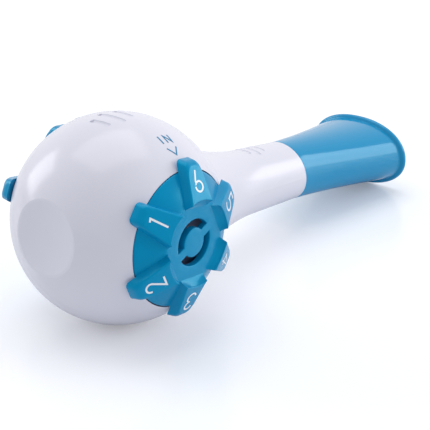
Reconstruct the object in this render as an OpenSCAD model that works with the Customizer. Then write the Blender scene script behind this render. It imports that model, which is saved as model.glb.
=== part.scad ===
// Inspiratory muscle trainer: a hollow ball with two numbered resistance dials,
// a handle neck and a push-on oval mouthpiece. It lies on the ball and the mouthpiece lip.

/* [Ball] */
// Radius of the ball body
ball_r = 32; // [30:0.5:35]
// Wall of the ball body
ball_wall = 2.2; // [1.6:0.1:2.8]
// Radius of the flat standing base at the front
base_r = 11.4; // [9:0.2:13]
// Width of the flat rim round the dished base
base_rim = 0.8; // [0.4:0.1:2]
// Depth of the dish inside the rim
base_sag = 1.0; // [0.4:0.1:1.6]

/* [Thumb grooves] */
// Width of one groove
groove_w = 2.0; // [1.4:0.1:2.6]
// Depth of one groove
groove_depth = 0.6; // [0.3:0.1:0.8]
// Place of the middle ball groove, from the ball centre towards the mouthpiece
ball_groove_y = -4.8; // [-7:0.1:-2]
// Step between the ball grooves
ball_groove_step = 4.8; // [4:0.1:6]
// Length of the middle ball groove
ball_groove_len = 10.5; // [8:0.5:14]
// Place of the middle neck groove, from the ball centre
neck_groove_y = 64.3; // [60:0.5:70]
// Step between the neck grooves
neck_groove_step = 3.8; // [3.2:0.1:5]
// Length of the middle neck groove
neck_groove_len = 9.4; // [7:0.2:12]

/* [Neck] */
// Distance from the ball centre to the face where the neck seats, as a share of the ball radius
seat_share = 0.828; // [0.8:0.004:0.86]
// Distance from the ball centre to the joint with the mouthpiece
joint_y = 84.6; // [80:0.2:90]
// Radius the straight neck would have at its seat, before the flare
neck_root_r = 12.2; // [11.6:0.1:13]
// Radius of the neck at the joint
joint_r = 10.6; // [10.2:0.1:11.2]
// Length over which the neck flares into the ball
flare_len = 33.5; // [26:0.5:40]
// Wall of the neck
neck_wall = 2.1; // [1.8:0.1:2.6]
// Radius of the plug that holds the neck in the ball, as a share of the seat radius
plug_share = 0.747; // [0.72:0.003:0.75]
// Length of that plug
plug_len = 6; // [5:0.5:7]
// Radius of the spigot that the mouthpiece pushes on
spigot_r = 9.2; // [8.8:0.1:9.4]
// Length of that spigot
spigot_len = 18; // [14:0.5:20]

/* [Mouthpiece] */
// Distance from the ball centre to the end of the mouthpiece
mouth_y = 137.4; // [128:0.2:142]
// Half width of the oval lip
mouth_a = 20.2; // [18:0.1:22]
// Half height of the oval lip
mouth_b = 13.3; // [12:0.1:14.5]
// Slant of the joint and of the mouth across the long axis, in degrees
slant = 14; // [0:1:18]
// How far the lip stands out from the tube behind it
lip_rise = 1.4; // [0.8:0.1:2]
// Length of the lip along the mouthpiece
lip_len = 2.2; // [1.6:0.1:3]
// Wall of the mouthpiece
mouth_wall = 1.6; // [1.2:0.1:2]

/* [Dials] */
// Radius of the opening in the ball side, as a share of the ball radius
opening_share = 0.644; // [0.63:0.002:0.66]
// Gap round a dial in its opening
dial_gap = 0.3; // [0.2:0.05:0.5]
// Radius through the corners of the flat hub face, as a share of the dial radius
hub_share = 0.601; // [0.58:0.003:0.62]
// Height of the inner end of a paddle over the hub face
paddle_rise = 2.5; // [1.6:0.1:3]
// Wall of the dial cap
dial_wall = 1.6; // [1.3:0.1:1.8]
// Thickness of the hub
hub_wall = 2.0; // [1.6:0.1:2.4]
// How far a paddle tip reaches beyond the opening
paddle_over = 3.9; // [3:0.1:5]
// Half width of a paddle at the hub, as a share of the hub corner radius
paddle_root_share = 0.425; // [0.39:0.005:0.44]
// Width of a paddle at its tip
paddle_tip_w = 6.4; // [5:0.1:8]
// Slope of a paddle top, in degrees
paddle_slope = 23; // [20:0.5:25]
// Rounding of a paddle tip seen from the side
paddle_round = 1.4; // [1:0.1:2]
// Gap between a paddle and the ball under it
paddle_clear = 0.5; // [0.3:0.05:0.8]
// Outer radius of the two air slots, as a share of the hub corner radius
slot_outer_share = 0.574; // [0.53:0.004:0.6]
// Inner radius of the air slots, as a share of their outer radius
slot_inner_share = 0.629; // [0.6:0.005:0.7]
// Width of the bar that parts the air slots
slot_bar_w = 2.8; // [2:0.1:3.6]
// Number of settings on the inhale dial
inhale_settings = 6; // [6, 5]
// Number of settings on the exhale dial
exhale_settings = 5; // [5, 6]

/* [Valves] */
// Distance of the port from the dial axis, as a share of the dial radius
port_offset_share = 0.552; // [0.545:0.001:0.56]
// Radius of the port, as a share of the dial radius
port_share = 0.138; // [0.11:0.002:0.145]
// Radius of the smallest graded hole, as a share of the port radius
least_hole_share = 0.36; // [0.25:0.01:0.5]
// Radius of a valve disc, as a share of the dial radius
valve_share = 0.217; // [0.2:0.001:0.22]
// Thickness of a valve disc
valve_t = 0.8; // [0.6:0.1:1]
// Travel of a valve disc
valve_travel = 1.2; // [0.8:0.1:1.4]
// Radius of the dial stem, as a share of the dial radius
stem_share = 0.148; // [0.138:0.001:0.15]

/* [Hidden] */

$fn = 96;
right = 1;
left = -1;
white = [0.93, 0.93, 0.96];
blue = [0.0, 0.56, 0.78];
grey = [0.45, 0.44, 0.55];
rubber = [0.16, 0.16, 0.19];
steel = [0.72, 0.73, 0.75];
silicone = [0.86, 0.88, 0.9];

// Clearances and cuts
overrun = 1.0;
fit = 0.05;
seat_gap = 0.05;

// Lay of the whole trainer: it leans until the lip and the ball touch the surface
lip_crest_y = mouth_y - lip_len / 3;
rest_y = lip_crest_y + mouth_b * tan(slant);
lean = asin(ball_r / norm([rest_y, mouth_b])) - atan2(mouth_b, rest_y);
base_y = sqrt(pow(ball_r, 2) - pow(base_r, 2));
lip_end_b = mouth_b - lip_rise / 3;
front_y = -(base_y * cos(lean) + base_r * sin(lean));
back_y = (mouth_y + lip_end_b * tan(slant)) * cos(lean) - lip_end_b * sin(lean);
mid_y = (front_y + back_y) / 2;

// Levels in a dial stack, measured outwards from the ball centre along the dial axis
opening_r = ball_r * opening_share;
dial_r = opening_r - dial_gap;
hub_corner_r = dial_r * hub_share;
paddle_reach = opening_r + paddle_over;
edge_level = sqrt(pow(ball_r, 2) - pow(dial_r, 2));
hub_level = sqrt(pow(ball_r, 2) - pow(hub_corner_r, 2));
skirt_depth = 2.9;
skirt_level = edge_level - skirt_depth;
skirt_wall = 1.8;
disc_t = 1.4;
disc_r = dial_r - skirt_wall - fit;
plate_gap = 0.3;
plate_top = skirt_level - plate_gap;
plate_t = 2.4;
plate_bottom = plate_top - plate_t;
plate_r = opening_r - fit;
gasket_t = 0.8;
ledge_top = plate_bottom - gasket_t;
ledge_t = 1.2;
ledge_share = 0.86;
ledge_r = opening_r * ledge_share;
collar_wall = 1.8;

// Valve pocket under the port
port_offset = dial_r * port_offset_share;
port_r = dial_r * port_share;
least_hole_r = port_r * least_hole_share;
valve_r = dial_r * valve_share;
valve_side_room = 0.6;
pocket_r = valve_r + valve_side_room;
pocket_wall = 0.9;
cage_t = 1.7;
seat_ring_h = 0.4;
seat_ring_w = 0.7;
seat_ring_room = 0.3;
seat_ring_r = port_r + seat_ring_room;
valve_lift_room = 0.25;
inhale_valve_top = plate_bottom - seat_ring_h - seat_gap;
cage_top = inhale_valve_top - valve_t - valve_travel - valve_lift_room;
pocket_floor = cage_top - cage_t;
guide_r = 0.8;
spoke_w = 1.0;
stop_rib_h = 0.2;

// Stem and its retaining clip
stem_r = dial_r * stem_share;
clip_w = 1.6;
clip_t = 0.8;
clip_r = stem_r + clip_w;
clip_gap = 0.2;
clip_level = plate_bottom - clip_gap - clip_t;
stem_groove_depth = 0.85;
stem_groove_r = stem_r - stem_groove_depth;
clip_mouth_share = 0.8;
stem_foot = 1.0;

// Click spring and its dimples
click_share = 0.739;
click_r = dial_r * click_share;
click_half_angle = 30;
click_end_turn = 1;
click_w = 2.4;
click_leaf_t = 0.5;
click_room = 1.2;
click_nose_r = 0.9;
dimple_r = 1.1;
dimple_depth = 0.5;

// Port seal
port_seal_room = 1.2;
port_seal_r = port_r + port_seal_room;
port_seal_section_r = 0.42;
port_seal_groove = 0.6;

// Neck and its plug
seat_y = ball_r * seat_share;
seat_r = sqrt(pow(ball_r, 2) - pow(seat_y, 2));
plug_r = seat_r * plug_share;
flare_ease = 0.15;
flare_r = seat_r - flare_ease;
flare_power = 1.75;
flare_steps = 18;
plug_wall = 2.2;
rear_collar_wall = 2.0;
neck_seal_section_r = 0.65;
mouth_seal_section_r = 0.6;
spigot_wall = 1.6;
bore_r = spigot_r - spigot_wall;
spigot_end_y = joint_y + spigot_len;
rib_wall = 1.8;
core_depth = 7;

// Mouthpiece rings
oval_power = 2.15;
ring_points = 48;
tube_steps = 14;
lip_y = mouth_y - lip_len;
socket_r = spigot_r + fit;
spigot_end_gap = 0.4;
socket_end_y = spigot_end_y + spigot_end_gap;
throat_step = 1.2;
throat_r = socket_r - throat_step;

// Lays the trainer on its ball and its lip
module laid() {
  translate([0, -mid_y, ball_r]) rotate([-lean, 0, 0]) children();
}

// Puts a dial stack, drawn with its axis up, on the right or left of the ball
module on_side(side) {
  laid() rotate([0, 0, side == right ? 0 : 180]) rotate(a = 120, v = [1, 1, 1]) children();
}

// Turns a profile, drawn as radius and distance, about the long axis
module turned() {
  rotate([-90, 0, 0]) rotate_extrude() children();
}

// Round-ended groove across the top: a ring about the long axis, kept within its length
groove_end_room = 0.2;
groove_end_r = groove_w / 2 + groove_end_room;
module groove(y, surface_r, len) {
  end_x = len / 2 - groove_end_r;
  intersection() {
    turned() translate([surface_r + groove_w / 2 - groove_depth, y]) circle(r = groove_w / 2);
    translate([0, y, 0]) linear_extrude(height = ball_r + groove_w) {
      square([2 * end_x, 2 * groove_end_r], center = true);
      for (x = [-end_x, end_x]) translate([x, 0]) circle(r = groove_end_r);
    }
  }
}

// Three grooves in a row, the middle one longest
outer_groove_share = 0.72;
module groove_row(y, step, len, radii) {
  for (i = [-1 : 1])
    groove(y + i * step, radii[i + 1], i == 0 ? len : len * outer_groove_share);
}

// Space inside the ball, less its base floor, rear collar and the collars of the side openings
module ball_cavity() {
  difference() {
    sphere(r = ball_r - ball_wall);
    rotate([90, 0, 0]) translate([0, 0, base_y - base_sag - ball_wall])
      cylinder(r = base_r + ball_wall, h = ball_r);
    rotate([-90, 0, 0]) translate([0, 0, seat_y - plug_len])
      cylinder(r = plug_r + fit + rear_collar_wall, h = ball_r);
    for (turn = [90, -90]) rotate([0, turn, 0]) translate([0, 0, ledge_top - ledge_t])
      cylinder(r = opening_r + collar_wall, h = ball_r);
  }
}

// White ball body with a dished base, two side openings, a rear seat and thumb grooves
module ball_shell() {
  dish_r = base_r - base_rim;
  dish_ball_r = (pow(dish_r, 2) + pow(base_sag, 2)) / (2 * base_sag);
  color(white) laid() difference() {
    sphere(r = ball_r);
    ball_cavity();
    // flat base and its dish
    rotate([90, 0, 0]) translate([0, 0, base_y]) cylinder(r = ball_r, h = ball_r);
    translate([0, -base_y + base_sag - dish_ball_r, 0]) sphere(r = dish_ball_r, $fn = 3 * $fn);
    // side openings
    for (turn = [90, -90]) rotate([0, turn, 0]) {
      translate([0, 0, ledge_top]) cylinder(r = opening_r, h = ball_r);
      translate([0, 0, ledge_top - ledge_t - overrun]) cylinder(r = ledge_r, h = ball_r);
    }
    // rear seat and plug bore
    rotate([-90, 0, 0]) {
      translate([0, 0, seat_y]) cylinder(r = ball_r, h = ball_r);
      translate([0, 0, seat_y - plug_len - overrun]) cylinder(r = plug_r + fit, h = ball_r);
    }
    groove_row(ball_groove_y, ball_groove_step, ball_groove_len,
      [for (i = [-1 : 1]) sqrt(pow(ball_r, 2) - pow(ball_groove_y + i * ball_groove_step, 2))]);
  }
}

// Square groove for a sealing ring, open to the outside of a plug
module ring_groove(outer_r, y, section_r) {
  translate([outer_r - 2 * section_r, y - section_r]) square([2 * section_r + overrun, 2 * section_r]);
}

// Radius of the neck at a distance from the ball centre
function neck_r(y) =
  neck_root_r + (joint_r - neck_root_r) * (y - seat_y) / (joint_y - seat_y)
  + (flare_r - neck_root_r) * pow(max(0, 1 - (y - seat_y) / flare_len), flare_power);

// White handle neck: flare, plug into the ball, spigot for the mouthpiece, through bore
module neck_tube() {
  plug_y = seat_y - plug_len + fit;
  flare_end_y = seat_y + flare_len;
  spigot_chamfer = 0.6;
  plug_bore_r = plug_r - plug_wall;
  throat_y = seat_y + flare_len / 2;
  seal_y = seat_y - plug_len / 2;
  mouth_seal_y = joint_y + spigot_len / 2;
  core_y = seat_y + core_depth;
  neck_end_y = joint_y + joint_r * tan(slant) + overrun;
  color(white) laid() difference() {
    union() {
      difference() {
        turned() polygon([
          [0, plug_y],
          [plug_r, plug_y],
          [plug_r, seat_y],
          for (i = [0 : flare_steps])
            let (y = seat_y + flare_len * i / flare_steps) [neck_r(y), y],
          [neck_r(neck_end_y), neck_end_y],
          [0, neck_end_y]
        ]);
        translate([0, joint_y, 0]) rotate([slant, 0, 0]) translate([-ball_r, 0, -ball_r])
          cube(2 * ball_r);
      }
      // spigot
      turned() polygon([
        [0, joint_y - spigot_len / 2],
        [spigot_r, joint_y - spigot_len / 2],
        [spigot_r, spigot_end_y - spigot_chamfer],
        [spigot_r - spigot_chamfer, spigot_end_y],
        [0, spigot_end_y]
      ]);
    }
    // through bore, wide in the plug
    turned() polygon([
      [0, plug_y - overrun],
      [plug_bore_r, plug_y - overrun],
      [plug_bore_r, seat_y],
      [bore_r, throat_y],
      [bore_r, spigot_end_y + overrun],
      [0, spigot_end_y + overrun]
    ]);
    // core behind the flare, so that its wall stays even
    turned() polygon([
      [plug_r, seat_y - overrun],
      [plug_r, seat_y],
      [neck_r(core_y) - rib_wall - rib_wall / 2, core_y],
      [neck_r(core_y) - rib_wall, core_y],
      [flare_r - rib_wall, seat_y],
      [flare_r - rib_wall, seat_y - overrun]
    ]);
    // seal grooves
    turned() ring_groove(plug_r, seal_y, neck_seal_section_r);
    turned() ring_groove(spigot_r, mouth_seal_y, mouth_seal_section_r);
    groove_row(neck_groove_y, neck_groove_step, neck_groove_len,
      [for (i = [-1 : 1]) neck_r(neck_groove_y + i * neck_groove_step)]);
  }
}

// Rubber ring about the long axis
module long_axis_ring(y, outer_r, section_r) {
  color(rubber) laid() turned() translate([outer_r - section_r, y]) circle(r = section_r);
}

module neck_seal() {
  long_axis_ring(seat_y - plug_len / 2, plug_r, neck_seal_section_r);
}

module mouthpiece_seal() {
  long_axis_ring(joint_y + spigot_len / 2, spigot_r, mouth_seal_section_r);
}

// Oval ring of points across the long axis, slanted as the joint is; power 2 is an ellipse
function oval(a, b, y, power) = [
  for (i = [0 : ring_points - 1])
    let (
      c = cos(360 * i / ring_points),
      s = sin(360 * i / ring_points),
      z = b * sign(s) * pow(abs(s), 2 / power)
    )
      [a * sign(c) * pow(abs(c), 2 / power), y - z * tan(slant), z]
];

// Half width and half height of the outer tube at a share of its length
width_power = 1.25;
height_power = 2.0;
function tube_a(share) = joint_r + (mouth_a - lip_rise - joint_r) * pow(share, width_power);
function tube_b(share) = joint_r + (mouth_b - lip_rise - joint_r) * pow(share, height_power);
function tube_power(share) = 2 + (oval_power - 2) * share;

// Blue mouthpiece: round socket on the neck spigot, oval lip at the mouth
module mouthpiece() {
  lip_a = mouth_a - lip_rise / 3;
  inner_a = mouth_a - lip_rise - mouth_wall;
  inner_b = mouth_b - lip_rise - mouth_wall;
  ease = mouth_wall / 2;
  plug_end_y = socket_end_y - overrun - throat_r * tan(slant);
  socket_start_y = joint_y - overrun - socket_r * tan(slant);
  outer = [
    for (i = [0 : tube_steps])
      let (share = i / tube_steps)
        oval(tube_a(share), tube_b(share), joint_y + (lip_y - joint_y) * share, tube_power(share))
  ];
  lip = [
    oval(mouth_a - lip_rise / 3, mouth_b - lip_rise / 3, lip_y + lip_len / 4, oval_power),
    oval(mouth_a, mouth_b, lip_y + lip_len / 2, oval_power),
    oval(mouth_a, mouth_b, lip_crest_y, oval_power),
    oval(lip_a, lip_end_b, mouth_y, oval_power),
    oval(inner_a + ease, inner_b + ease, mouth_y, oval_power),
    oval(inner_a, inner_b, mouth_y - ease, oval_power)
  ];
  inner = [
    for (i = [tube_steps - 1 : -1 : 0])
      let (share = i / tube_steps)
        oval(
          throat_r + (inner_a - throat_r) * pow(share, width_power),
          throat_r + (inner_b - throat_r) * pow(share, height_power),
          plug_end_y + (mouth_y - ease - plug_end_y) * share,
          tube_power(share)
        )
  ];
  rings = concat(outer, lip, inner);
  count = len(rings);
  points = [for (ring = rings) each ring];
  skin = [
    for (k = [0 : count - 2], i = [0 : ring_points - 1])
      let (j = (i + 1) % ring_points, p = k * ring_points, q = p + ring_points)
        each [[p + i, p + j, q + j], [p + i, q + j, q + i]]
  ];
  start_cap = [[for (i = [ring_points - 1 : -1 : 0]) i]];
  end_cap = [[for (i = [0 : ring_points - 1]) (count - 1) * ring_points + i]];
  color(blue) laid() difference() {
    polyhedron(points, concat(skin, start_cap, end_cap), convexity = 6);
    rotate([-90, 0, 0]) translate([0, 0, socket_start_y])
      cylinder(r = socket_r, h = socket_end_y - socket_start_y);
  }
}

// Solid under the paddle tops: hub face, a step up at its edges, flat slopes, an arc at the tips
paddle_arc_steps = 8;
paddle_foot = 1.2;
step_run = 1.0;
module paddle_tops(settings) {
  out = 1 / cos(180 / settings);
  tip_u = paddle_reach - paddle_round;
  step_u = hub_corner_r * cos(180 / settings);
  slope_u = step_u + step_run;
  slope_level = hub_level + paddle_rise;
  tip_v = slope_level - (tip_u - slope_u) * tan(paddle_slope) - paddle_round / cos(paddle_slope);
  foot_level = skirt_level + paddle_foot;
  rotate([0, 0, 90 - 180 / settings]) rotate_extrude($fn = settings) polygon([
    [0, foot_level],
    [0, hub_level],
    [step_u * out, hub_level],
    [slope_u * out, slope_level],
    for (i = [0 : paddle_arc_steps])
      let (turn = (90 - paddle_slope) * (1 - i / paddle_arc_steps))
        [(tip_u + paddle_round * cos(turn)) * out, tip_v + paddle_round * sin(turn)],
    [paddle_reach * out, foot_level]
  ]);
}

// Point at a distance along and across a paddle
function on_paddle(along, across, turn) =
  [along * cos(turn) - across * sin(turn), along * sin(turn) + across * cos(turn)];

// Outline of hub and paddles from outside: tapered paddles with round corners at the tips
paddle_corner_r = 1.4;
paddle_corner_steps = 5;
root_room = 0.3;
module paddle_star(settings) {
  root_along = (hub_corner_r + root_room) * cos(180 / settings);
  root_across = hub_corner_r * paddle_root_share;
  corner_along = paddle_reach - paddle_corner_r;
  corner_across = paddle_tip_w / 2 - paddle_corner_r;
  polygon([
    for (i = [0 : settings - 1])
      let (turn = 90 + 360 * i / settings)
        each [
          on_paddle(root_along, -root_across, turn),
          for (side = [-1, 1], k = [0 : paddle_corner_steps])
            let (bend = 45 * (side - 1) + 90 * k / paddle_corner_steps)
              on_paddle(
                corner_along + paddle_corner_r * cos(bend),
                side * corner_across + paddle_corner_r * sin(bend),
                turn
              ),
          on_paddle(root_along, root_across, turn)
        ]
  ]);
}

// Raised hub and paddles, with room over the ball outside the opening
paddle_undercut = 0.4;
cap_drop = 0.25;
module paddles(settings) {
  difference() {
    intersection() {
      paddle_tops(settings);
      linear_extrude(height = ball_r + overrun) paddle_star(settings);
    }
    difference() {
      sphere(r = ball_r + paddle_clear);
      cylinder(r = dial_r - paddle_undercut, h = ball_r + overrun);
    }
  }
}

// Numbered dial cap with paddles, air slots and stem
module dial(side, settings) {
  rim_ceiling = sqrt(pow(ball_r, 2) - pow(dial_r - skirt_wall, 2)) - dial_wall;
  stem_end = clip_level - stem_foot;
  slot_turn = 90 - 360 / settings;
  slot_outer_r = hub_corner_r * slot_outer_share;
  slot_inner_r = slot_outer_r * slot_inner_share;
  color(blue) on_side(side) union() {
    difference() {
      union() {
        intersection() {
          sphere(r = ball_r);
          translate([0, 0, skirt_level]) cylinder(r = dial_r, h = hub_level - cap_drop - skirt_level);
        }
        paddles(settings);
      }
      // hollow under the cap
      rotate_extrude() polygon([
        [0, skirt_level - overrun], [dial_r - skirt_wall, skirt_level - overrun],
        [dial_r - skirt_wall, rim_ceiling], [hub_corner_r, hub_level - hub_wall],
        [0, hub_level - hub_wall]
      ]);
      // two air slots, parted by a straight bar
      difference() {
        translate([0, 0, skirt_level]) cylinder(r = slot_outer_r, h = ball_r);
        cylinder(r = slot_inner_r, h = ball_r + overrun);
        rotate([0, 0, slot_turn])
          translate([-slot_outer_r - overrun, -slot_bar_w / 2, 0])
          cube([2 * (slot_outer_r + overrun), slot_bar_w, ball_r + overrun]);
      }
    }
    // stem with the groove for its clip
    rotate_extrude() polygon([
      [0, stem_end], [stem_r - stem_foot / 2, stem_end], [stem_r, stem_end + stem_foot / 2],
      [stem_r, clip_level - fit], [stem_groove_r, clip_level - fit],
      [stem_groove_r, clip_level + clip_t + fit], [stem_r, clip_level + clip_t + fit],
      [stem_r, hub_level - hub_wall / 2], [0, hub_level - hub_wall / 2]
    ]);
  }
}

// Disc that turns with the dial: one graded hole and one click dimple for each setting
module orifice_disc(side, settings) {
  hole_step = (port_r - least_hole_r) / (settings - 1);
  color(grey) on_side(side) difference() {
    translate([0, 0, skirt_level]) cylinder(r = disc_r, h = disc_t);
    translate([0, 0, skirt_level - overrun]) cylinder(r = stem_r + fit, h = disc_t + 2 * overrun);
    for (i = [0 : settings - 1]) rotate([0, 0, 90 + 360 * i / settings]) {
      translate([port_offset, 0, skirt_level - overrun])
        cylinder(r = least_hole_r + hole_step * ((settings - i) % settings), h = disc_t + 2 * overrun);
      rotate([0, 0, 180 / settings * (settings % 2)])
        translate([click_r, 0, skirt_level + dimple_depth - dimple_r]) sphere(r = dimple_r);
    }
  }
}

// Split ring that holds the stem in the plate
module dial_clip(side) {
  color(steel) on_side(side) translate([0, 0, clip_level]) difference() {
    cylinder(r = clip_r, h = clip_t);
    translate([0, 0, -overrun]) cylinder(r = stem_groove_r + fit, h = clip_t + 2 * overrun);
    translate([0, -stem_groove_r * clip_mouth_share, -overrun])
      cube([clip_r + overrun, 2 * stem_groove_r * clip_mouth_share, clip_t + 2 * overrun]);
  }
}

// Fixed plate in the ball opening: stem bore, port, valve pocket, seal groove, spring recess
module port_plate(side) {
  color(grey) on_side(side) difference() {
    union() {
      translate([0, 0, plate_bottom]) cylinder(r = plate_r, h = plate_t);
      translate([0, port_offset, pocket_floor])
        cylinder(r = pocket_r + pocket_wall, h = plate_bottom - pocket_floor + plate_t / 2);
    }
    translate([0, 0, plate_bottom - overrun])
      cylinder(r = stem_r + fit, h = plate_t + 2 * overrun);
    translate([0, port_offset, pocket_floor - overrun]) difference() {
      cylinder(r = pocket_r, h = plate_bottom - pocket_floor + overrun);
      pocket_detail(side);
    }
    translate([0, port_offset, plate_bottom - 2 * overrun])
      cylinder(r = port_r, h = plate_t + 3 * overrun);
    // groove for the port seal
    translate([0, port_offset, plate_top - port_seal_groove]) difference() {
      cylinder(r = port_seal_r + port_seal_section_r + fit, h = port_seal_groove + overrun);
      cylinder(r = port_seal_r - port_seal_section_r - fit, h = port_seal_groove + overrun);
    }
    // recess for the click spring
    rotate([0, 0, 270 - click_half_angle]) rotate_extrude(angle = 2 * click_half_angle)
      translate([click_r - click_w / 2 - fit, plate_top - click_room])
      square([click_w + 2 * fit, click_room + overrun]);
  }
}

// What is left standing in the valve pocket: the inhale seat ring, or the exhale stop ribs
module pocket_detail(side) {
  top = plate_bottom - pocket_floor + overrun;
  if (side == right) {
    translate([0, 0, top - seat_ring_h]) difference() {
      cylinder(r = seat_ring_r + seat_ring_w, h = seat_ring_h + overrun);
      translate([0, 0, -overrun]) cylinder(r = seat_ring_r, h = seat_ring_h + 3 * overrun);
    }
  } else {
    for (turn = [30, 150, 270]) rotate([0, 0, turn])
      translate([port_r, -spoke_w / 2, top - stop_rib_h])
      cube([pocket_r, spoke_w, stop_rib_h + overrun]);
  }
}

// Rubber ring in the plate, against the orifice disc
module port_seal(side) {
  ring_level = plate_top - port_seal_groove + port_seal_section_r;
  color(rubber) on_side(side) translate([0, port_offset, ring_level])
    rotate_extrude() translate([port_seal_r, 0]) circle(r = port_seal_section_r);
}

// Flat gasket between the plate and the ledge in the ball
module plate_gasket(side) {
  color(rubber) on_side(side) translate([0, 0, ledge_top]) difference() {
    cylinder(r = plate_r, h = gasket_t);
    translate([0, 0, -overrun]) cylinder(r = ledge_r + fit, h = gasket_t + 2 * overrun);
  }
}

// Steel leaf with a foot at one end and a round nose under a dimple
module click_spring(side) {
  leaf_level = plate_top - click_leaf_t - seat_gap;
  foot_angle = 10;
  leaf_turn = 270 - click_half_angle + click_end_turn;
  nose_level = skirt_level - seat_gap - click_nose_r;
  color(steel) on_side(side) union() {
    rotate([0, 0, leaf_turn]) rotate_extrude(angle = 2 * (click_half_angle - click_end_turn))
      translate([click_r - click_w / 2, leaf_level]) square([click_w, click_leaf_t]);
    rotate([0, 0, leaf_turn]) rotate_extrude(angle = foot_angle)
      translate([click_r - click_w / 2, plate_top - click_room])
      square([click_w, click_room - seat_gap]);
    intersection() {
      translate([0, -click_r, nose_level]) sphere(r = click_nose_r);
      translate([0, -click_r, leaf_level]) cylinder(r = click_nose_r, h = click_room);
    }
  }
}

// Spider in the pocket with the guide pin; the exhale one also carries the seat ring
module valve_cage(side) {
  ring_inner_r = side == right ? valve_r - valve_lift_room : seat_ring_r;
  pin_top = plate_bottom - seat_gap;
  color(grey) on_side(side) translate([0, port_offset, pocket_floor]) union() {
    difference() {
      cylinder(r = pocket_r - fit, h = cage_t);
      translate([0, 0, -overrun]) cylinder(r = ring_inner_r, h = cage_t + 2 * overrun);
    }
    for (turn = [0, 90]) rotate([0, 0, turn])
      translate([-ring_inner_r - fit, -spoke_w / 2, 0])
      cube([2 * (ring_inner_r + fit), spoke_w, cage_t]);
    cylinder(r = guide_r, h = pin_top - pocket_floor);
    if (side == left) translate([0, 0, cage_t - fit]) difference() {
      cylinder(r = seat_ring_r + seat_ring_w, h = seat_ring_h + fit);
      translate([0, 0, -overrun]) cylinder(r = seat_ring_r, h = seat_ring_h + 2 * overrun);
    }
  }
}

// Soft disc on the guide pin: outside rests on the plate seat, or inside on the exhale seat
module valve_disc(side) {
  level = side == right ? inhale_valve_top - valve_t : cage_top + seat_ring_h + seat_gap;
  color(silicone) on_side(side) translate([0, port_offset, level]) difference() {
    cylinder(r = valve_r, h = valve_t);
    translate([0, 0, -overrun]) cylinder(r = guide_r + fit, h = valve_t + 2 * overrun);
  }
}

ball_shell();
neck_tube();
neck_seal();
mouthpiece();
mouthpiece_seal();
dial(right, inhale_settings);  // inhale_dial
orifice_disc(right, inhale_settings);  // inhale_orifice_disc
dial_clip(right);  // inhale_dial_clip
port_plate(right);  // inhale_port_plate
port_seal(right);  // inhale_port_seal
plate_gasket(right);  // inhale_plate_gasket
click_spring(right);  // inhale_click_spring
valve_cage(right);  // inhale_valve_cage
valve_disc(right);  // inhale_valve_disc
dial(left, exhale_settings);  // exhale_dial
orifice_disc(left, exhale_settings);  // exhale_orifice_disc
dial_clip(left);  // exhale_dial_clip
port_plate(left);  // exhale_port_plate
port_seal(left);  // exhale_port_seal
plate_gasket(left);  // exhale_plate_gasket
click_spring(left);  // exhale_click_spring
valve_cage(left);  // exhale_valve_seat
valve_disc(left);  // exhale_valve_disc
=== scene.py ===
from math import asin, atan2, cos, hypot, pi, radians, sin, sqrt, tan

import bmesh
import bpy
from mathutils import Matrix, Vector


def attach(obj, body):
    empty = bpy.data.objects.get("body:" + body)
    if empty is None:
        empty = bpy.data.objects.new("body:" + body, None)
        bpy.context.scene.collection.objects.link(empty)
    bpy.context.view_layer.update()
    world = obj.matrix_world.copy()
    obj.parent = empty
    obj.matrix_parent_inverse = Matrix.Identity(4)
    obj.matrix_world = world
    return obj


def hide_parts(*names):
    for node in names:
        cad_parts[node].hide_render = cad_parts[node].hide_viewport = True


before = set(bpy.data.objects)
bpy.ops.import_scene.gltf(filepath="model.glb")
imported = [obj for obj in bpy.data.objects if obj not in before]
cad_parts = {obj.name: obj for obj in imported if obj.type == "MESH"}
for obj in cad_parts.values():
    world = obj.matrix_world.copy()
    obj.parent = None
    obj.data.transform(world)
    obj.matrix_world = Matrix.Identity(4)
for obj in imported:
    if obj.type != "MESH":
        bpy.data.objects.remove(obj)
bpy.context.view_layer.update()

# Camera: a lens of about 102 mm half a metre from the ball, above its front right and
# rolled by a degree.
azimuth, elevation, roll = radians(39.02), radians(23.75), radians(-1.14)
camera_tilt = radians(0.354)
camera_place = (0.23213, -0.24036, 0.14672)
back = Vector((sin(azimuth) * cos(elevation), -cos(azimuth) * cos(elevation), sin(elevation)))
level = Vector((cos(azimuth), sin(azimuth), 0))
above = back.cross(level)
side = level * cos(roll) + above * sin(roll)
upward = above * cos(roll) - level * sin(roll)
camera_data = bpy.data.cameras.new("camera")
camera_data.sensor_width = 36
camera_data.lens = 101.85
camera_data.clip_start = 0.01
camera = bpy.data.objects.new("camera", camera_data)
ball_centre = Matrix.Translation((0, -0.053218, 0.032))
camera.matrix_world = (
    ball_centre
    @ Matrix.Rotation(camera_tilt, 4, "X")
    @ Matrix.Translation(camera_place)
    @ Matrix((side, upward, back)).transposed().to_4x4()
)
bpy.context.scene.collection.objects.link(camera)
bpy.context.scene.camera = camera
bpy.context.scene.view_settings.view_transform = "Standard"

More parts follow.
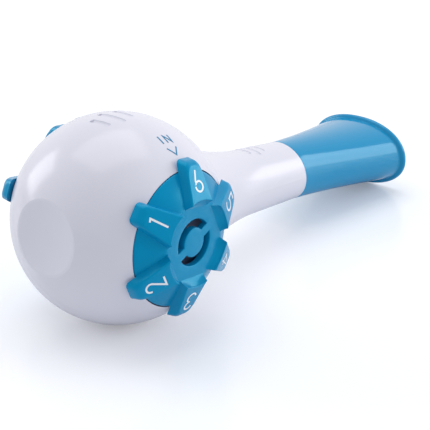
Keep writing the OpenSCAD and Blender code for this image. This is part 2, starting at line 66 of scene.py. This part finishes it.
# World: soft pale light all round, and plain white to the camera, in reflections and
# through clear pieces.
world = bpy.data.worlds.new("studio")
bpy.context.scene.world = world
world.use_nodes = True
nodes, links = world.node_tree.nodes, world.node_tree.links
nodes.clear()
light_path = nodes.new("ShaderNodeLightPath")
seen = nodes.new("ShaderNodeMath")
seen.operation = "MAXIMUM"
links.new(light_path.outputs["Is Camera Ray"], seen.inputs[0])
links.new(light_path.outputs["Is Glossy Ray"], seen.inputs[1])
shown = nodes.new("ShaderNodeMath")
shown.operation = "MAXIMUM"
links.new(seen.outputs[0], shown.inputs[0])
links.new(light_path.outputs["Is Transmission Ray"], shown.inputs[1])
soft = nodes.new("ShaderNodeBackground")
soft.inputs["Color"].default_value = (0.93, 0.95, 1.0, 1)
soft.inputs["Strength"].default_value = 0.58
plain = nodes.new("ShaderNodeBackground")
plain.inputs["Color"].default_value = (1, 1, 1, 1)
plain.inputs["Strength"].default_value = 1
either = nodes.new("ShaderNodeMixShader")
links.new(shown.outputs[0], either.inputs[0])
links.new(soft.outputs[0], either.inputs[1])
links.new(plain.outputs[0], either.inputs[2])
links.new(either.outputs[0], nodes.new("ShaderNodeOutputWorld").inputs["Surface"])


# Lamps: a wide softbox stands behind on the right, from the floor up, another hangs
# overhead and a weak one fills in from the left.
def softbox(name, place, width, height, power):
    data = bpy.data.lights.new(name, "AREA")
    data.shape = "RECTANGLE"
    data.size, data.size_y = width, height
    data.energy = power
    lamp = bpy.data.objects.new(name, data)
    aim = Vector((0, 0, 0.03)) - Vector(place)
    lamp.matrix_world = Matrix.Translation(place) @ aim.to_track_quat("-Z", "Y").to_matrix().to_4x4()
    lamp.visible_camera = False
    bpy.context.scene.collection.objects.link(lamp)


softbox("softbox_behind", (0.8, 0.9, 0.33), 0.95, 0.62, 6)
softbox("softbox_top", (-0.15, 0.05, 0.9), 0.9, 0.7, 3.2)
softbox("softbox_left", (-0.9, -0.25, 0.4), 0.4, 0.5, 1.8)

# Floor: a glossy white sheet that shows plain white away from the trainer and keeps
# its shadow and a faint reflection of it.
floor_mesh = bpy.data.meshes.new("floor")
bm = bmesh.new()
bmesh.ops.create_grid(bm, x_segments=1, y_segments=1, size=6)
bm.to_mesh(floor_mesh)
bm.free()
floor = bpy.data.objects.new("floor", floor_mesh)
bpy.context.scene.collection.objects.link(floor)
floor_white = bpy.data.materials.new("floor_white")
floor_white.use_nodes = True
nodes, links = floor_white.node_tree.nodes, floor_white.node_tree.links
shader = nodes["Principled BSDF"]
shader.inputs["Base Color"].default_value = (0.86, 0.87, 0.9, 1)
shader.inputs["Roughness"].default_value = 0.22
shader.inputs["IOR"].default_value = 1.4
light_path = nodes.new("ShaderNodeLightPath")
glow = nodes.new("ShaderNodeEmission")
links.new(light_path.outputs["Is Camera Ray"], glow.inputs["Strength"])
glow.inputs["Color"].default_value = (0.2, 0.2, 0.2, 1)
both = nodes.new("ShaderNodeAddShader")
links.new(shader.outputs[0], both.inputs[0])
links.new(glow.outputs[0], both.inputs[1])
links.new(both.outputs[0], nodes["Material Output"].inputs["Surface"])
floor_mesh.materials.append(floor_white)


# Ball and neck: two glossy white ABS mouldings, the neck plugged into the ball. Like
# every finish here the plastic has a faint unevenness in its gloss.
def finish(name, colour, roughness, metallic=0.0, transmission=0.0, grain=0.0, gleam=(1, 1, 1)):
    speckle_scale, gloss_spread, grain_depth = 900, 0.1, 0.00002
    made = bpy.data.materials.new(name)
    made.use_nodes = True
    nodes, links = made.node_tree.nodes, made.node_tree.links
    shader = nodes["Principled BSDF"]
    shader.inputs["Base Color"].default_value = (*colour, 1)
    shader.inputs["Metallic"].default_value = metallic
    shader.inputs["Transmission Weight"].default_value = transmission
    shader.inputs["Specular Tint"].default_value = (*gleam, 1)
    place = nodes.new("ShaderNodeTexCoord")
    noise = nodes.new("ShaderNodeTexNoise")
    noise.inputs["Scale"].default_value = speckle_scale
    noise.inputs["Detail"].default_value = 2
    links.new(place.outputs["Object"], noise.inputs["Vector"])
    span = nodes.new("ShaderNodeMapRange")
    span.inputs["To Min"].default_value = roughness * (1 - gloss_spread)
    span.inputs["To Max"].default_value = roughness * (1 + gloss_spread)
    links.new(noise.outputs["Fac"], span.inputs["Value"])
    links.new(span.outputs["Result"], shader.inputs["Roughness"])
    if grain:
        bump = nodes.new("ShaderNodeBump")
        bump.inputs["Strength"].default_value = grain
        bump.inputs["Distance"].default_value = grain_depth
        links.new(noise.outputs["Fac"], bump.inputs["Height"])
        links.new(bump.outputs["Normal"], shader.inputs["Normal"])
    return made


def dress(used, *endings):
    for name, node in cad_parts.items():
        if name.endswith(endings):
            node.data.materials.clear()
            node.data.materials.append(used)


white_plastic = finish("white_plastic", (0.76, 0.755, 0.84), 0.2)
dress(white_plastic, "ball_shell", "neck_tube")

# Port plates, orifice discs, valve cage and valve seat: plain grey ABS mouldings inside
# the ball, seen only through the air slots of the dials.
grey_plastic = finish("grey_plastic", (0.42, 0.42, 0.58), 0.4)
dress(grey_plastic, "_port_plate", "_orifice_disc", "_cage", "_seat")

# Seals and gaskets: black rubber rings in the joints of the neck and behind the port
# plates.
black_rubber = finish("black_rubber", (0.02, 0.02, 0.022), 0.6, grain=0.3)
dress(black_rubber, "_seal", "_gasket")

# Dial clips and click springs: bent spring steel that holds each dial on its plate and
# at its settings.
spring_steel = finish("spring_steel", (0.6, 0.61, 0.62), 0.28, metallic=1.0)
dress(spring_steel, "_clip", "_spring")

# Valve discs: thin flaps of clear silicone, each held by a guide pin through its middle,
# that lift off their seats with each breath.
clear_silicone = finish("clear_silicone", (0.85, 0.87, 0.89), 0.3, transmission=0.6)
dress(clear_silicone, "_valve_disc")

# Mouthpiece: one glossy blue ABS moulding that pushes onto the neck's spigot. It widens
# from a round joint to an oval mouth with a rolled lip, both cut on a slant. Like all new
# pieces it is drawn in mm round the ball's centre, +Y along the neck, and then leant.
neck_lean = radians(7.7269)
lay = ball_centre @ Matrix.Rotation(-neck_lean, 4, "X") @ Matrix.Scale(0.001, 4)
crease = radians(35)


def ring_edges(bm, ring):
    return [bm.edges.get((one, other)) for one, other in zip(ring, ring[1:] + ring[:1])]


def start_ring(bm, points):
    ring = bmesh.ops.create_circle(bm, segments=len(points), radius=1)["verts"]
    for vert, point in zip(ring, points):
        vert.co = point
    return ring


def draw_out(bm, ring, points):
    made = bmesh.ops.extrude_edge_only(bm, edges=ring_edges(bm, ring))["geom"]
    number = {vert: k for k, vert in enumerate(ring)}
    grown = list(ring)
    for vert in (part for part in made if isinstance(part, bmesh.types.BMVert)):
        for edge in vert.link_edges:
            if edge.other_vert(vert) in number:
                grown[number[edge.other_vert(vert)]] = vert
    for vert, point in zip(grown, points):
        vert.co = point
    return grown


def loft(bm, loops):
    first = ring = start_ring(bm, loops[0])
    for points in loops[1:]:
        ring = draw_out(bm, ring, points)
    return first, ring


def add_piece(name, bm, place, used, body):
    bmesh.ops.recalc_face_normals(bm, faces=bm.faces)
    mesh = bpy.data.meshes.new(name)
    bm.to_mesh(mesh)
    bm.free()
    mesh.transform(lay @ place)
    mesh.polygons.foreach_set("use_smooth", [True] * len(mesh.polygons))
    mesh.set_sharp_from_angle(angle=crease)
    mesh.materials.append(used)
    piece = bpy.data.objects.new(name, mesh)
    bpy.context.scene.collection.objects.link(piece)
    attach(piece, body)
    return piece


mouth_plastic = finish("mouth_plastic", (0.0, 0.28, 0.55), 0.11, gleam=(0.6, 0.95, 1.0))
dress(mouth_plastic, "mouthpiece")
slant = tan(radians(14))
joint_r, joint_y = 10.6, 84.6
mouth_a, mouth_b, mouth_y = 18.8, 11.9, 134.8
socket_r, socket_y = 9.25, 103.0
bore_r, bore_a, bore_b, bore_y, bore_end_y = 8.05, 17.2, 10.25, 103.6, 136.2
round_power, squarer, mouth_power = 2, 0.15, 2.15
lip = ((0.12, 134.95), (0.42, 135.1), (0.85, 135.32), (1.15, 135.62), (1.34, 136.0),
       (1.4, 136.4), (1.35, 136.8), (1.15, 137.12), (0.8, 137.34), (0.3, 137.42),
       (-0.4, 137.42), (-1.0, 137.28), (-1.4, 136.98), (-1.6, 136.5))


def oval(a, b, y, power=round_power, lean=slant, count=128):
    points = []
    for k in range(count):
        c, s = cos(2 * pi * k / count), sin(2 * pi * k / count)
        x = a * abs(c) ** (2 / power) * (1 if c >= 0 else -1)
        z = b * abs(s) ** (2 / power) * (1 if s >= 0 else -1)
        points.append(Vector((x, y - z * lean, z)))
    return points


def between(start, end, share):
    return start + (end - start) * share


ovals = [oval(joint_r - 0.25, joint_r - 0.25, joint_y + 0.02),
         oval(joint_r - 0.08, joint_r - 0.08, joint_y + 0.1)]
for share in [k / 40 for k in range(1, 41)]:
    ovals.append(oval(
        between(joint_r, mouth_a, share**1.25), between(joint_r, mouth_b, share**2),
        between(joint_y, mouth_y, share), round_power + squarer * share
    ))
ovals += [oval(mouth_a + rise, mouth_b + rise, y, mouth_power) for rise, y in lip]
for share in [k / 40 for k in range(39, 0, -2)]:
    ovals.append(oval(
        between(bore_r, bore_a, share**1.25), between(bore_r, bore_b, share**2),
        between(bore_y, bore_end_y, share), round_power + squarer * share, slant * share
    ))
ovals.append(oval(bore_r, bore_r, socket_y + 0.05, lean=0))
ovals.append(oval(socket_r, socket_r, socket_y, lean=0))
ovals.append(oval(socket_r, socket_r, joint_y + 0.02))
bm = bmesh.new()
loft(bm, ovals + ovals[:1])
bmesh.ops.remove_doubles(bm, verts=bm.verts, dist=0.0001)
mouthpiece = add_piece(
    "mouthpiece_body", bm, Matrix.Identity(4), mouth_plastic, "mouthpiece_set"
)
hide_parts("mouthpiece")

# Dial caps: blue ABS mouldings that turn in the sides of the ball on a stem. A flat hub
# with two air slots sits between raised paddles, on a cap that carries on the curve of
# the ball. Each is drawn with +Z out of the ball, the highest setting on +Y.
to_right = Matrix(((0, 0, 1, 0), (1, 0, 0, 0), (0, 1, 0, 0), (0, 0, 0, 1)))
to_left = Matrix(((0, 0, -1, 0), (-1, 0, 0, 0), (0, 1, 0, 0), (0, 0, 0, 1)))
blue_plastic = finish("blue_plastic", (0.0, 0.265, 0.515), 0.22, gleam=(0.1, 0.85, 1.0))
dress(blue_plastic, "_dial")
ball_r = 32
hub_level, hub_r, hub_wall, cap_r = 29.585, 12.205, 2, 20.308
slot_in, slot_out, bar_half, rim_round = 4.41, 7.0, 1.4, 0.28
bar_columns, half_columns = 6, 48
stem_r, stem_length, stem_middle = 3, 10, 22.6


def ball_level(r):
    return sqrt(ball_r**2 - r**2)


def warp_to_bar(bm, bar_turn):
    # the bar left between the two air slots has parallel sides
    for vert in bm.verts:
        r = hypot(vert.co.x, vert.co.y)
        column = round(atan2(vert.co.y, vert.co.x) * half_columns / pi) % (2 * half_columns)
        half, k = divmod(column, half_columns)
        edge = asin(bar_half / min(max(r, slot_in), slot_out))
        if k < bar_columns:
            turn = between(-edge, edge, k / bar_columns)
        else:
            turn = between(edge, pi - edge, (k - bar_columns) / (half_columns - bar_columns))
        turn += bar_turn + half * pi
        vert.co.x, vert.co.y = r * cos(turn), r * sin(turn)


def cut_slots(bm):
    cut = []
    for face in bm.faces:
        middle = face.calc_center_median()
        column = int(atan2(middle.y, middle.x) * half_columns / pi % (2 * half_columns))
        if slot_in < hypot(middle.x, middle.y) < slot_out and column % half_columns >= bar_columns:
            cut.append(face)
    bmesh.ops.delete(bm, geom=cut, context="FACES")
    open_edges = [edge for edge in bm.edges if edge.is_boundary]
    slot_turn = pi * (bar_columns + half_columns) / 2 / half_columns
    for turn in (slot_turn, slot_turn + pi):
        way = Vector((cos(turn), sin(turn), 0))
        rims = [e for e in open_edges if (e.verts[0].co + e.verts[1].co).dot(way) > 0]
        bmesh.ops.bridge_loops(bm, edges=rims)


def cap_body(bm, settings):
    floor_level = hub_level - hub_wall
    profile = [(0, hub_level), (2.2, hub_level), (slot_in, hub_level), (slot_out, hub_level),
               (9, hub_level), (11.2, hub_level), (11.9, hub_level - 0.01), (12.3, hub_level - 0.08)]
    profile += [(r, ball_level(r)) for r in (12.8, 13.6, 14.8, 16, 17.2, 18.4, 19.3, 19.8)]
    profile += [(20.06, ball_level(20.06) - 0.02), (20.24, ball_level(20.24) - 0.1),
                (cap_r, ball_level(cap_r) - 0.3), (cap_r, 22.0), (20.15, 21.8), (18.6, 21.8),
                (18.5, 21.9), (18.5, 24.5), (12.2, floor_level), (slot_out, floor_level),
                (slot_in, floor_level), (2.2, floor_level), (0, floor_level)]
    line = [bm.verts.new((r, 0, z)) for r, z in profile]
    edges = [bm.edges.new(pair) for pair in zip(line, line[1:])]
    bmesh.ops.spin(
        bm, geom=line + edges, cent=(0, 0, 0), axis=(0, 0, 1), angle=2 * pi,
        steps=2 * half_columns, use_merge=True
    )
    bmesh.ops.remove_doubles(bm, verts=bm.verts, dist=0.0001)
    cut_slots(bm)
    warp_to_bar(bm, radians(90 - 360 / settings))
    bmesh.ops.recalc_face_normals(bm, faces=bm.faces)
    rims = [
        e for e in bm.edges
        if all(abs(v.co.z - hub_level) < 0.001 for v in e.verts) and e.calc_face_angle(0) > 1
    ]
    bmesh.ops.bevel(
        bm, geom=rims, offset=rim_round, segments=3, profile=0.5, affect="EDGES", material=-1
    )


# Paddles: drafted blocks with soft edges, moulded in one with the dial cap and one for
# each setting. They fall away from the hub and end over the ball, just clear of it.
paddle_rise, paddle_slope, paddle_step, paddle_sunk = 2.5, radians(23), 1, 0.7
ball_edge_r, ball_edge_width, ball_edge_u = 20, 0.45, 19.7
over_ball_r, over_ball_level, over_ball_fall = 20.5, 25.1, 0.5
near_round, far_round, round_width = 0.5, 1.8, 3
lid_u, base_u = 17.2, 19.6


def hub_flat(settings):
    return hub_r * cos(pi / settings)


def paddle_top(u, settings):
    return hub_level + paddle_rise - (u - hub_flat(settings) - paddle_step) * tan(paddle_slope)


def paddle_under(u, v, sunk):
    r = hypot(u, v)
    inside = min(ball_level(min(r, ball_edge_r)), hub_level) - sunk
    outside = over_ball_level - over_ball_fall * (r - over_ball_r)
    return between(inside, outside, min(max((r - ball_edge_r) / ball_edge_width, 0), 1))


def edge_round(u):
    return between(near_round, far_round, min(max((u - ball_edge_r) / round_width, 0), 1))


def paddle_outline(inner_edge, root, tip, reach, corner):
    start, end = inner_edge(root), reach - corner
    along = [between(start, ball_edge_u, k / 9) for k in range(9)]
    along += [ball_edge_u * share for share in (1.0, 1.025, 1.05, 1.075)]
    half = [(u, between(root, tip, (u - start) / (reach - start))) for u in along]
    across = between(root, tip, (end - start) / (reach - start)) - corner
    for bend in [pi / 16 * k for k in range(9)]:
        half.append((end + corner * sin(bend), across + corner * cos(bend)))
    inner = [(inner_edge(root * k / 6), root * k / 6) for k in range(-6, 6)]
    nose = [(reach, across * (1 - k / 3)) for k in range(1, 6)]
    return inner + half + nose + [(u, -v) for u, v in reversed(half[1:])]


def paddle_loops(settings):
    flat = hub_flat(settings)
    foot = paddle_outline(lambda v: flat - 0.1, root=5.2, tip=3.15, reach=23.62, corner=1.7)
    top = paddle_outline(
        lambda v: sqrt((flat + 2.2) ** 2 - v**2), root=4.6, tip=2.95, reach=23.5, corner=1.9
    )
    loops = [[Vector((u, v, paddle_under(u, v, paddle_sunk))) for u, v in foot]]
    for share in (0.0, 0.08, 0.3, 0.65, 1.0):
        loops.append([])
        for (fu, fv), (tu, tv) in zip(foot, top):
            low, high = paddle_under(fu, fv, 0), paddle_top(tu, settings) - edge_round(tu)
            draft = share**0.75
            loops[-1].append(Vector(
                (between(fu, tu, draft), between(fv, tv, draft), between(low, high, share))
            ))
    for bend in (0.35, 0.7, 1.05, 1.35, pi / 2):
        loops.append([])
        for (pu, pv), (tu, tv), (qu, qv) in zip(top[-1:] + top[:-1], top, top[1:] + top[:1]):
            inward = edge_round(tu) * (1 - cos(bend)) / hypot(qu - pu, qv - pv)
            u, v = tu + (qv - pv) * inward, tv - (qu - pu) * inward
            drop = edge_round(tu) * (1 - sin(bend))
            loops[-1].append(Vector((u, v, paddle_top(u, settings) - drop)))
    return loops


def close_ring(bm, ring, centre):
    lid = bmesh.ops.contextual_create(bm, geom=ring_edges(bm, ring))["faces"]
    bmesh.ops.poke(bm, faces=lid)["verts"][0].co = centre


def dial_cap(name, node, body, settings, place):
    bm = bmesh.new()
    cap_body(bm, settings)
    lid = Vector((lid_u, 0, paddle_top(lid_u, settings)))
    base = Vector((base_u, 0, paddle_under(base_u, 0, paddle_sunk)))
    for i in range(settings):
        turned = Matrix.Rotation(radians(90 + 360 * i / settings), 3, "Z")
        loops = [[turned @ point for point in loop] for loop in paddle_loops(settings)]
        first, last = loft(bm, loops)
        close_ring(bm, first, turned @ base)
        close_ring(bm, last, turned @ lid)
    bmesh.ops.create_cone(
        bm, cap_ends=True, segments=48, radius1=stem_r, radius2=stem_r, depth=stem_length,
        matrix=Matrix.Translation((0, 0, stem_middle))
    )
    piece = add_piece(name, bm, place, blue_plastic, body)
    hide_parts(node)


dial_cap("inhale_dial_cap", "inhale_dial", "inhale_dial_set", 6, to_right)
dial_cap("exhale_dial_cap", "exhale_dial", "exhale_dial_set", 5, to_left)

# Numbers: white pad print on the paddles, drawn as thin strokes that follow the slope,
# each number with its top outwards.
white_print = finish("white_print", (0.88, 0.9, 0.93), 0.35)
ink_height = 0.05


def stroke(bm, path, width, put):
    ways = [(Vector(b) - Vector(a)).normalized() for a, b in zip(path, path[1:])]
    sections = []
    for (x, y), before, after in zip(path, ways[:1] + ways, ways + ways[-1:]):
        out = before + after
        out *= width / 2 / max(1 + before.dot(after), 0.35)
        sections.append([
            Vector(put(x - out.y * across, y + out.x * across, height))
            for across, height in ((1, 0), (1, ink_height), (-1, ink_height), (-1, 0))
        ])
    for ring in loft(bm, sections):
        bmesh.ops.contextual_create(bm, geom=ring_edges(bm, ring))


def arc(x, y, radius, start, end, steps=14):
    turns = [radians(between(start, end, k / steps)) for k in range(steps + 1)]
    return [(x + radius * cos(turn), y + radius * sin(turn)) for turn in turns]


numbers = {
    1: [(-1.0, 2.85), (0.0, 3.15), (0.0, -3.1)],
    2: arc(-0.15, 1.7, 1.42, 185, -38) + [(-1.85, -3.0), (1.2, -3.0)],
    3: arc(-0.1, 1.6, 1.4, 165, -80) + arc(-0.1, -1.4, 1.6, 80, -160),
    4: [(0.7, -3.1), (0.7, 3.1), (-1.6, -1.3), (1.7, -1.3)],
    5: [(1.4, 3.05), (-1.0, 3.05)] + arc(-0.1, -1.2, 1.75, 122, -155),
    6: [(-0.15, 3.3), (-0.6, 1.7), (-1.0, 0.3)] + arc(0.1, -1.45, 1.5, 160, -185, 28),
}


def dial_numbers(name, body, settings, place):
    number_u, number_stroke = 18.1, 0.58
    bm = bmesh.new()
    for i in range(settings):
        turn = radians(90 + 360 * i / settings)

        def put(x, y, height):
            along = number_u + y * cos(paddle_slope) + height * sin(paddle_slope)
            rise = height * cos(paddle_slope) - y * sin(paddle_slope)
            return (along * cos(turn) + x * sin(turn), along * sin(turn) - x * cos(turn),
                    paddle_top(number_u, settings) + rise)

        stroke(bm, numbers[settings if i == 0 else i], number_stroke, put)
    add_piece(name, bm, place, white_print, body)


dial_numbers("inhale_numbers", "inhale_dial_set", 6, to_right)
dial_numbers("exhale_numbers", "exhale_dial_set", 5, to_left)

# Marks on the ball: a small arrowhead over each dial and a plain word above it,
# printed in blue.
blue_print = finish("blue_print", (0.02, 0.22, 0.42), 0.35)
letters = {
    "I": [[(0, -1.5), (0, 1.5)]],
    "N": [[(-1, -1.5), (-1, 1.5), (1, -1.5), (1, 1.5)]],
    "O": [arc(0, 0, 1.45, 90, 450, 32)],
    "U": [[(-1.05, 1.5)] + arc(0, -0.45, 1.05, 180, 360) + [(1.05, 1.5)]],
    "T": [[(-1.1, 1.5), (1.1, 1.5)], [(0, 1.5), (0, -1.5)]],
}
arrowhead = [(-2.1, -3.3), (0, -6.0), (2.1, -3.3)]


def on_ball(x, y, height):
    word_out, word_r, reach = radians(59.5), 27.6, ball_r + 0.01 + height
    out, turn = word_out + y / ball_r, x / word_r
    return reach * sin(out) * sin(turn), reach * sin(out) * cos(turn), reach * cos(out)


def ball_mark(name, paths, place):
    mark_stroke = 0.45
    bm = bmesh.new()
    for path in paths:
        fine = []
        for (ax, ay), (bx, by) in zip(path, path[1:]):
            fine += [(between(ax, bx, k / 4), between(ay, by, k / 4)) for k in range(4)]
        stroke(bm, fine + [path[-1]], mark_stroke, on_ball)
    add_piece(name, bm, place, blue_print, "housing")


for side_name, place, word, places in (("inhale", to_right, "IN", (-1.7, 1.3)),
                                       ("exhale", to_left, "OUT", (-3.4, 0, 3.2))):
    paths = [
        [(x + middle, y) for x, y in path]
        for letter, middle in zip(word, places) for path in letters[letter]
    ]
    ball_mark(side_name + "_word", paths, place)
    ball_mark(side_name + "_arrow", [arrowhead], place)
